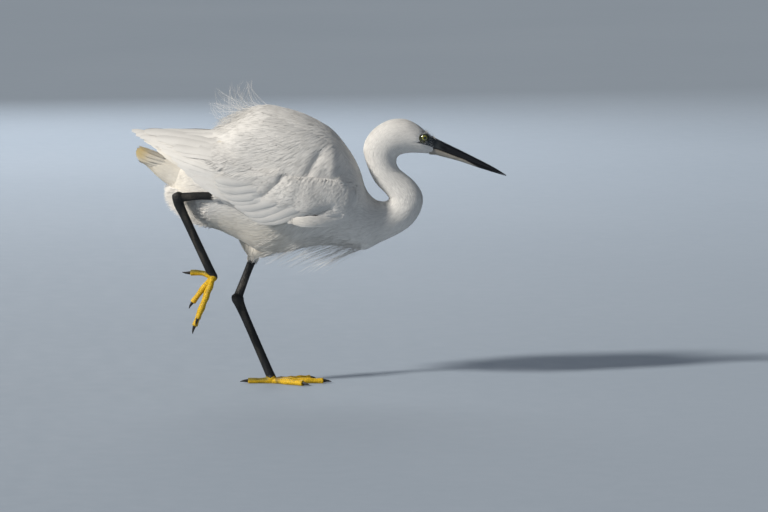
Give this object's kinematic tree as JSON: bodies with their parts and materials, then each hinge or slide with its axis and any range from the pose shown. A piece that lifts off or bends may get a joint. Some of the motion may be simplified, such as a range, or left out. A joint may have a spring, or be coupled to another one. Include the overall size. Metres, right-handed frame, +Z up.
{
  "type": "little egret",
  "caption": "White heron stalking on one leg, the other drawn back with its toes hanging, neck in an S, spear bill held forward, loose plumes on back and breast.",
  "frame": {"origin": "on the floor, in the middle of the standing foot's sole", "axes": "+X the way the bird faces, +Y to its left, +Z up"},
  "size_m": [0.4121, 0.1202, 0.3335],
  "materials": {
    "plumage": "soft matte feathers",
    "dark_horn": "satin horn",
    "pale_horn": "satin horn, paler at the base",
    "leg_skin": "scaled skin",
    "toe_skin": "scaled skin",
    "eye": "wet gloss",
    "claw": "satin horn"
  },
  "bodies": {
    "root": {"bill_lower": "pale_horn", "bill_upper": "dark_horn", "claw_left_1": "claw", "claw_left_2": "claw", "claw_left_3": "claw", "claw_left_4": "claw", "claw_right_1": "claw", "claw_right_2": "claw", "claw_right_3": "claw", "claw_right_4": "claw", "eye_left": "eye", "eye_right": "eye", "foot_left": "toe_skin", "foot_right": "toe_skin", "head": "plumage", "neck_lower": "plumage", "neck_middle": "plumage", "neck_upper": "plumage", "tail": "plumage", "tarsus_left": "leg_skin", "tarsus_right": "leg_skin", "thigh_left": "plumage", "thigh_right": "plumage", "tibia_left": "leg_skin", "tibia_right": "leg_skin", "toe_left_1": "toe_skin", "toe_left_2": "toe_skin", "toe_left_3": "toe_skin", "toe_left_4": "toe_skin", "toe_right_1": "toe_skin", "toe_right_2": "toe_skin", "toe_right_3": "toe_skin", "toe_right_4": "toe_skin", "torso": "plumage", "wing_left": "plumage", "wing_right": "plumage"}
  },
  "joints": []
}
